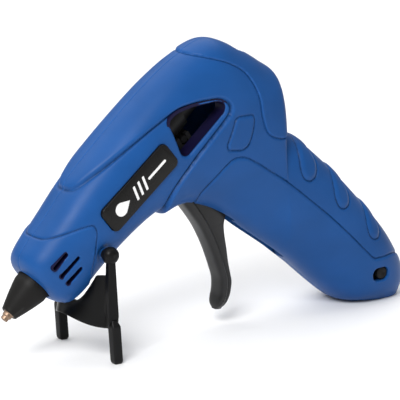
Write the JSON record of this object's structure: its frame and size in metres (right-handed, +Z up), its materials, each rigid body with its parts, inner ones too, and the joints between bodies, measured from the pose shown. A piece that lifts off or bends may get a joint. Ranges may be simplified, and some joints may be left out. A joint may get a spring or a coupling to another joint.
{
  "type": "cordless hot glue gun",
  "caption": "Cordless hot glue gun for 7 mm sticks with trigger feed, slide switch, viewing window and a folding front stand, shown standing nozzle down.",
  "frame": {"origin": "centre of the bounding box on the ground that the stand feet and the handle foot rest on", "axes": "+Z up, -X towards the nozzle end, +X towards the handle foot, -Y the side with the badge and the slide switch; the barrel slopes 41 degrees down to -X"},
  "size_m": [0.2146, 0.0474, 0.1325],
  "materials": {
    "housing_blue": "satin moulded plastic",
    "badge_black": "smooth black",
    "nozzle_rubber": "matt heat resistant rubber",
    "brass": "turned, heat tinted",
    "cast_aluminium": "as cast",
    "ceramic": "matt",
    "steel": "bright zinc plated",
    "heat_resin": "glass filled",
    "silicone": "soft",
    "inner_plastic": "moulded",
    "trigger_black": "satin moulded plastic",
    "cell_wrap": "shrink film",
    "nickel": "nickel strip",
    "circuit_board": "solder mask",
    "knob_black": "moulded",
    "wire_red": "silicone insulation",
    "wire_black": "silicone insulation",
    "stand_black": "satin moulded plastic"
  },
  "bodies": {
    "housing": {"left_shell": "housing_blue", "right_shell": "housing_blue", "rear_cap": "housing_blue", "badge_plate": "badge_black", "nozzle_cover": "nozzle_rubber", "nozzle_tip": "brass", "melt_chamber": "cast_aluminium", "ptc_heater": "ceramic", "heater_clip": "steel", "front_mount_ring": "heat_resin", "rear_mount_ring": "heat_resin", "thermal_sleeve": "silicone", "stick_guide": "inner_plastic", "inlet_bush": "inner_plastic", "return_spring": "steel", "trigger_pin": "steel", "battery_cell": "cell_wrap", "battery_contacts": "nickel", "control_board": "circuit_board", "switch_body": "inner_plastic", "usb_socket": "steel", "heater_wires": "wire_red", "battery_wires": "wire_black", "housing_screws": "steel"},
    "trigger": {"trigger": "trigger_black"},
    "carriage": {"feed_carriage": "inner_plastic", "jaw_pin": "steel"},
    "jaw": {"clamp_jaw": "steel"},
    "stand": {"stand_yoke": "stand_black"},
    "switch_slider": {"switch_knob": "knob_black"}
  },
  "joints": [
    {"name": "trigger_pivot", "type": "hinge", "parent": "housing", "child": "trigger", "pos_m": [-0.00678, 0, 0.07228], "axis": [0, -1, 0], "range_deg": [0, 21.5], "stiffness_Nm_per_rad": 0.1, "springref_deg": -17.19},
    {"name": "feed_slide", "type": "slide", "parent": "housing", "child": "carriage", "axis": [-0.7547, 0, -0.6561], "range_m": [0, 0.0075], "deforming": ["return_spring"]},
    {"name": "jaw_pivot", "type": "hinge", "parent": "carriage", "child": "jaw", "pos_m": [-0.02651, 0, 0.10229], "axis": [0, -1, 0], "range_deg": [0, 6.9]},
    {"name": "stand_pivot", "type": "hinge", "parent": "housing", "child": "stand", "pos_m": [-0.06377, 0, 0.04791], "axis": [0, -1, 0], "range_deg": [0, 104]},
    {"name": "switch_slide", "type": "slide", "parent": "housing", "child": "switch_slider", "axis": [1, 0, 0], "range_m": [-0.0032, 0]}
  ],
  "couplings": [
    {"joint": "trigger_pivot", "follows": "feed_slide", "rad_per_m": 50},
    {"joint": "jaw_pivot", "follows": "feed_slide", "rad_per_m": 16}
  ]
}
